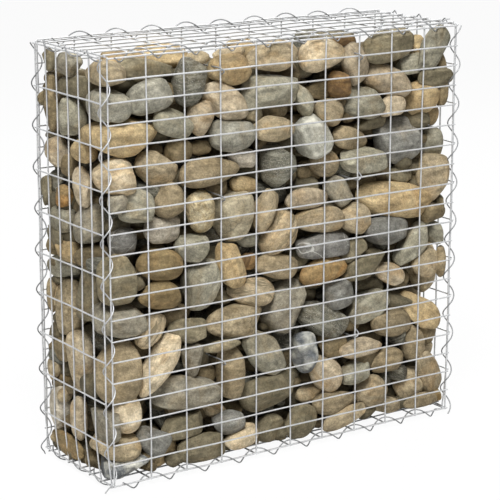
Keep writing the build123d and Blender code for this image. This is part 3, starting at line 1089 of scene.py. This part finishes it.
def skin_group():
    tree, given, out = new_group(
        "cobble_skin",
        {
            "Grain": "Vector", "Tone": "Float", "Mottle": "Float", "Stains": "Float", "Specks": "Float",
            "Main": "Color", "Second": "Color", "Stain": "Color", "Speck": "Color",
        },
        {"Color": "Color", "Roughness": "Float", "Height": "Float"},
    )
    grain = given.outputs["Grain"]
    clouds = noise_value(tree, grain, given.outputs["Mottle"], 6.0, 0.62, 0.6)
    stains = noise_value(tree, layered(tree, grain, (-1.0, 1.0, 1.4)), 13.0, 3.0, 0.55, 0.8)
    streaks = noise_value(tree, layered(tree, grain, (12.0, 60.0, 85.0)), 1.0, 5.0, 0.65)
    blotches = noise_value(tree, grain, 70.0, 4.0, 0.65, 0.4)
    fine = noise_value(tree, grain, 210.0, 5.0, 0.75)
    flecks = noise_value(tree, grain, 430.0, 2.0)
    body = mixed(tree, stretched(tree, clouds, 0.34, 0.64), given.outputs["Main"], given.outputs["Second"])
    stain_mask = product(tree, stretched(tree, stains, 0.50, 0.70), given.outputs["Stains"])
    stained = mixed(tree, stain_mask, body, given.outputs["Stain"])
    fleck_mask = product(tree, stretched(tree, flecks, 0.58, 0.66), given.outputs["Specks"])
    colour = mixed(tree, fleck_mask, stained, given.outputs["Speck"])
    # The tone darkens each stone by its own amount; the lowest part of the range, taken by the small stones
    # deep inside, is painted shade for the gaps.
    colour = scaled_colour(tree, colour, stretched(tree, given.outputs["Tone"], -1.0, 1.0, 0.49, 1.0))
    colour = scaled_colour(tree, colour, stretched(tree, streaks, 0.30, 0.70, 0.68, 1.25))
    colour = scaled_colour(tree, colour, stretched(tree, blotches, 0.32, 0.68, 0.73, 1.23))
    colour = scaled_colour(tree, colour, stretched(tree, fine, 0.30, 0.70, 0.63, 1.31))
    tree.links.new(colour, out.inputs["Color"])
    tree.links.new(stretched(tree, fine, 0.3, 0.7, 0.68, 0.92), out.inputs["Roughness"])
    height = combined(tree, "ADD", clouds, product(tree, fine, 0.55))
    height = combined(tree, "ADD", height, product(tree, streaks, 0.4))
    tree.links.new(height, out.inputs["Height"])
    return tree


SKIN = skin_group()


# %% Bands, veins and pits
def bands_group():
    tree, given, out = new_group("bedding_bands", {"Grain": "Vector", "Scale": "Float"}, {"Mask": "Float"})
    layers = layered(tree, given.outputs["Grain"], (0.35, 0.8, 2.2))
    beds = noise_value(tree, layers, given.outputs["Scale"], 5.0, 0.7, 1.2)
    tree.links.new(stretched(tree, beds, 0.48, 0.57), out.inputs["Mask"])
    return tree


def veins_group():
    tree, given, out = new_group(
        "quartz_veins", {"Grain": "Vector", "Scale": "Float", "Width": "Float"}, {"Mask": "Float"}
    )
    grain = given.outputs["Grain"]
    warp = add_node(tree, "ShaderNodeTexNoise", {"Vector": grain, "Scale": 22.0, "Detail": 4.0})
    bent = scaled_colour(tree, warp.outputs["Color"], 0.03)
    place = add_node(tree, "ShaderNodeVectorMath", {0: grain, 1: bent}, operation="ADD").outputs[0]
    inputs = {"Vector": place, "Scale": given.outputs["Scale"]}
    cells = add_node(tree, "ShaderNodeTexVoronoi", inputs, feature="DISTANCE_TO_EDGE")
    lines = stretched(tree, cells.outputs["Distance"], 0.0, given.outputs["Width"], 1.0, 0.0)
    broken = stretched(tree, noise_value(tree, grain, 17.0), 0.42, 0.56)
    tree.links.new(product(tree, lines, broken), out.inputs["Mask"])
    return tree


def pits_group():
    tree, given, out = new_group(
        "weather_pits", {"Grain": "Vector", "Scale": "Float", "Share": "Float"}, {"Mask": "Float"}
    )
    grain = given.outputs["Grain"]
    holes = stretched(tree, noise_value(tree, grain, given.outputs["Scale"], 5.0, 0.7, 0.6), 0.54, 0.63)
    place_mask = stretched(tree, noise_value(tree, grain, 26.0), 0.42, 0.52)
    both = product(tree, holes, place_mask)
    tree.links.new(product(tree, both, given.outputs["Share"]), out.inputs["Mask"])
    return tree


BANDS, VEINS, PITS = bands_group(), veins_group(), pits_group()
print("rock groups:", SKIN.name, BANDS.name, VEINS.name, PITS.name)


# %% [markdown]
# Each kind of rock now needs only its colours and the effects it shows. The bump is shallow: the shape of a
# cobble is in its mesh, and the bump only adds the grain that the fingers would feel.

# %% Rock material
def placed_group(tree, group, grain, **values):
    """A node group in a material, reading the stone's own grain."""
    node = add_node(tree, "ShaderNodeGroup", node_tree=group)
    tree.links.new(grain, node.inputs["Grain"])
    for key, value in values.items():
        node.inputs[key].default_value = value
    return node


DARK_SPECK = (0.10, 0.085, 0.06)
PALE_SPECK = (0.55, 0.53, 0.46)
IRON = (0.42, 0.265, 0.11)
EARTH = (0.27, 0.20, 0.105)
# Strength and depth of the bumps.
ROCK_BUMP = (0.5, 0.004)


def rock_material(
    name, main, second, stain=EARTH, speck=DARK_SPECK, mottle=16.0, stains=0.5, specks=0.4,
    bands=None, veins=None, pits=None,
):
    """Rock: colours of the skin, and the band, vein and pit colours where it has them."""
    material, tree, shader = new_material(name)
    shader.inputs["Specular IOR Level"].default_value = 0.18
    grain = add_node(tree, "ShaderNodeAttribute", attribute_name="grain").outputs["Vector"]
    tone = add_node(tree, "ShaderNodeAttribute", attribute_name="tone").outputs["Fac"]
    colours = {"Main": (*main, 1), "Second": (*second, 1), "Stain": (*stain, 1), "Speck": (*speck, 1)}
    skin = placed_group(tree, SKIN, grain, Mottle=mottle, Stains=stains, Specks=specks, **colours)
    tree.links.new(tone, skin.inputs["Tone"])
    colour, height = skin.outputs["Color"], skin.outputs["Height"]
    if bands:
        mask = placed_group(tree, BANDS, grain, Scale=bands[1]).outputs["Mask"]
        colour = mixed(tree, product(tree, mask, bands[2]), colour, (*bands[0], 1))
    if veins:
        mask = placed_group(tree, VEINS, grain, Scale=veins[1], Width=veins[2]).outputs["Mask"]
        colour = mixed(tree, mask, colour, (*veins[0], 1))
    if pits:
        mask = placed_group(tree, PITS, grain, Scale=pits[1], Share=pits[2]).outputs["Mask"]
        colour = mixed(tree, mask, colour, (*pits[0], 1))
        height = combined(tree, "SUBTRACT", height, mask)
    dress_shader(tree, shader, skin, colour, height, ROCK_BUMP)
    return material


# %% [markdown]
# The kinds differ in their two main tones, in stains and specks, and in bands, veins or pits. Colours are
# given in linear light, which is why the numbers look darker than the stones.

# %% Kinds of rock
# Bands: colour, scale and share. Veins: colour, scale and width. Pits: colour, scale and share.
ROCKS = {
    "tan": rock_material("tan_sandstone", (0.51, 0.415, 0.27), (0.365, 0.295, 0.18), IRON),
    "honey": rock_material("honey_sandstone", (0.54, 0.42, 0.235), (0.41, 0.30, 0.157), IRON, mottle=13.0),
    "cream": rock_material("cream_quartzite", (0.67, 0.57, 0.40), (0.54, 0.43, 0.27), IRON, specks=0.25),
    "grey": rock_material("grey_siltstone", (0.40, 0.375, 0.285), (0.28, 0.26, 0.185)),
    "dove": rock_material("dove_siltstone", (0.36, 0.33, 0.25), (0.26, 0.23, 0.17)),
    "mist": rock_material("mist_siltstone", (0.61, 0.55, 0.44), (0.47, 0.415, 0.32), stains=0.35),
    "pale": rock_material("pale_siltstone", (0.43, 0.41, 0.33), (0.315, 0.30, 0.235), stains=0.35),
    "buff": rock_material("buff_sandstone", (0.38, 0.305, 0.188), (0.28, 0.22, 0.13)),
    "sand": rock_material("sand_quartzite", (0.56, 0.47, 0.33), (0.44, 0.355, 0.235), IRON, specks=0.3),
    "ochre": rock_material("ochre_sandstone", (0.315, 0.237, 0.12), (0.23, 0.165, 0.078), IRON),
    "olive": rock_material("olive_greywacke", (0.28, 0.24, 0.155), (0.175, 0.15, 0.092)),
    "brown": rock_material("brown_sandstone", (0.32, 0.25, 0.145), (0.195, 0.15, 0.08)),
    "slate": rock_material(
        "blue_slate", (0.28, 0.274, 0.24), (0.175, 0.169, 0.146), speck=PALE_SPECK, stains=0.3, specks=0.3
    ),
    "seamed": rock_material(
        "seamed_slate", (0.25, 0.24, 0.215), (0.15, 0.144, 0.128), speck=PALE_SPECK, stains=0.35, specks=0.3,
        veins=((0.46, 0.45, 0.41), 8.0, 0.013),
    ),
    "marbled": rock_material(
        "marbled_slate", (0.25, 0.26, 0.26), (0.12, 0.13, 0.14), speck=PALE_SPECK, stains=0.2, specks=0.3,
        veins=((0.60, 0.59, 0.51), 17.0, 0.22),
    ),
    "creased": rock_material(
        "creased_siltstone", (0.48, 0.42, 0.29), (0.35, 0.30, 0.20),
        veins=((0.13, 0.12, 0.09), 9.0, 0.012),
    ),
    "rough": rock_material(
        "rough_sandstone", (0.46, 0.38, 0.245), (0.31, 0.245, 0.145), mottle=30.0,
        pits=((0.15, 0.115, 0.065), 75.0, 0.7),
    ),
    "rusty": rock_material(
        "rusty_sandstone", (0.32, 0.225, 0.105), (0.28, 0.17, 0.07), (0.36, 0.19, 0.06),
        mottle=10.0, stains=0.9,
    ),
    "rust": rock_material(
        "rust_banded_stone", (0.28, 0.18, 0.08), (0.20, 0.115, 0.045), IRON,
        bands=((0.10, 0.06, 0.03), 26.0, 0.8),
    ),
    "granite": rock_material(
        "dark_granite", (0.185, 0.177, 0.132), (0.095, 0.09, 0.07), speck=PALE_SPECK, mottle=30.0,
        stains=0.25, specks=0.7, bands=((0.34, 0.325, 0.255), 34.0, 0.4),
    ),
    "banded": rock_material(
        "banded_sandstone", (0.60, 0.50, 0.34), (0.47, 0.36, 0.21), IRON,
        bands=((0.17, 0.14, 0.085), 30.0, 0.85),
    ),
    "pitted": rock_material(
        "pitted_limestone", (0.62, 0.54, 0.36), (0.38, 0.28, 0.135), IRON, mottle=34.0, specks=0.7,
        pits=((0.13, 0.10, 0.055), 95.0, 0.85),
    ),
    "veined": rock_material(
        "veined_quartzite", (0.50, 0.485, 0.40), (0.40, 0.39, 0.325), stains=0.2, specks=0.15,
        veins=((0.62, 0.60, 0.51), 9.0, 0.07),
    ),
}
print("kinds of rock:", ", ".join(ROCKS))

# %% [markdown]
# ## The fill
# All stones of one lift are one mesh, cut in a front and a back half to keep each mesh light. A stone is
# shaped on its own, turned, moved to its place and copied into the mesh of its lift. Two attributes go
# with it: its grain and its tone. The small stones deep inside get dark tones: their dust and earth, and
# painted shade that darkens the gaps between the stones in front.

# %% Make the fill
LIFTS = {
    "lower_lift": ("stone_lift_1",),
    "middle_lift": ("stone_lift_2",),
    "upper_lift": ("stone_lift_3", "stone_lift_4"),
}
ROCK_NAMES = list(ROCKS)
# Tones of the small stones deep inside: their dust and earth, and painted shade that darkens the gaps.
DUST_AND_SHADE_TONES = (-1.0, -0.4)
# How far apart the grain of two stones may be taken.
GRAIN_RANGE = 30
fills = {}


def lift_of(cobble):
    """The lift and half of the basket that a stone lies in."""
    for name, nodes in LIFTS.items():
        if cobble.middle.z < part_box(nodes[-1])[1].z:
            break
    return name + ("_front" if cobble.middle.y < 0 else "_back")


for cobble in pile.cobbles:
    fill = fills.setdefault(lift_of(cobble), {"bm": bmesh.new(), "grain": [], "tone": [], "count": 0})
    single = bmesh.new()
    ball = worn_cobble(single, cobble.half, cobble.thick_end, cobble.kind, cobble.fine)
    offset = random_vector(GRAIN_RANGE)
    fill["grain"] += [value for vert in ball for value in vert.co + offset]
    # Small stones deep inside take the darkest tones: dust, and painted shade in the gaps.
    tone = chance.random() if cobble.fine else chance.uniform(*DUST_AND_SHADE_TONES)
    fill["tone"] += [tone] * len(ball)
    fill["count"] += 1
    for face in single.faces:
        face.material_index = ROCK_NAMES.index(cobble.kind)
    bmesh.ops.transform(single, verts=ball, matrix=Matrix.Translation(cobble.middle) @ cobble.turn.to_4x4())
    pressed_inside(single, ball)
    scratch = bpy.data.meshes.new("single_cobble")
    single.to_mesh(scratch)
    single.free()
    fill["bm"].from_mesh(scratch)
    bpy.data.meshes.remove(scratch)

for name, fill in sorted(fills.items()):
    lift = name.rsplit("_", 1)[0]
    piece = finished_piece(name + "_cobbles", fill["bm"], ROCKS.values(), LIFTS[lift])
    piece.data.attributes.new("grain", "FLOAT_VECTOR", "POINT").data.foreach_set("vector", fill["grain"])
    piece.data.attributes.new("tone", "FLOAT", "POINT").data.foreach_set("value", fill["tone"])
    print(piece.name, fill["count"], "stones,", len(piece.data.polygons), "faces")

# %% [markdown]
# ## Floor and light
# The wall stands on a plain white floor in a white studio. A broad lamp above gives the stones bright
# tops and dark undersides, a softer one in front fills the gaps, a third lights the far sides, and the
# world adds an even light. The floor and the world show white to the camera, and the floor still keeps
# the shadow.

# %% Floor
FLOOR_SIZE = 14.0
# Share of the floor's colour that is plain white to the camera; the rest keeps the shadow.
FLOOR_WHITE = 0.95
floor_bm = bmesh.new()
bmesh.ops.create_grid(floor_bm, x_segments=2, y_segments=2, size=FLOOR_SIZE)
floor_mesh = bpy.data.meshes.new("floor")
floor_bm.to_mesh(floor_mesh)
floor_bm.free()
floor = bpy.data.objects.new("floor", floor_mesh)
bpy.context.scene.collection.objects.link(floor)

floor_material, tree, paint = new_material("white_floor")
paint.inputs["Base Color"].default_value = (0.8, 0.8, 0.8, 1)
paint.inputs["Roughness"].default_value = 0.9
glow = add_node(tree, "ShaderNodeEmission", {"Color": (1, 1, 1, 1), "Strength": 1.0})
rays = add_node(tree, "ShaderNodeLightPath")
seen = combined(tree, "MULTIPLY", rays.outputs["Is Camera Ray"], FLOOR_WHITE)
blend = add_node(tree, "ShaderNodeMixShader", {0: seen, 1: paint.outputs[0], 2: glow.outputs[0]})
tree.links.new(blend.outputs[0], tree.nodes["Material Output"].inputs["Surface"])
floor_mesh.materials.append(floor_material)

# %% World and lamps
WORLD_LIGHT = 0.12
world = bpy.data.worlds.new("white_studio")
bpy.context.scene.world = world
world.use_nodes = True
tree = world.node_tree
rays = add_node(tree, "ShaderNodeLightPath")
either = combined(tree, "MAXIMUM", rays.outputs["Is Camera Ray"], rays.outputs["Is Glossy Ray"])
either = combined(tree, "MAXIMUM", either, rays.outputs["Is Transmission Ray"])
strength = stretched(tree, either, 0.0, 1.0, WORLD_LIGHT, 1.0)
tree.nodes["Background"].inputs["Color"].default_value = (1, 1, 1, 1)
tree.links.new(strength, tree.nodes["Background"].inputs["Strength"])


def soft_lamp(name, place, size, power):
    """A square lamp aimed at the middle of the wall."""
    data = bpy.data.lights.new(name, "AREA")
    data.size = size
    data.energy = power
    lamp = bpy.data.objects.new(name, data)
    lamp.location = place
    lamp.rotation_euler = (Vector((0, 0, wall_middle)) - Vector(place)).to_track_quat("-Z", "Y").to_euler()
    bpy.context.scene.collection.objects.link(lamp)


soft_lamp("key_lamp", place=(-2.0, -2.65, 5.1), size=2.1, power=485)
soft_lamp("front_lamp", place=(-2.4, -3.2, 1.9), size=2.0, power=12)
soft_lamp("back_lamp", place=(2.3, 3.0, 3.4), size=2.2, power=120)
bpy.context.scene.view_settings.view_transform = "Standard"
print("lamps:", [light.name for light in bpy.data.lights])
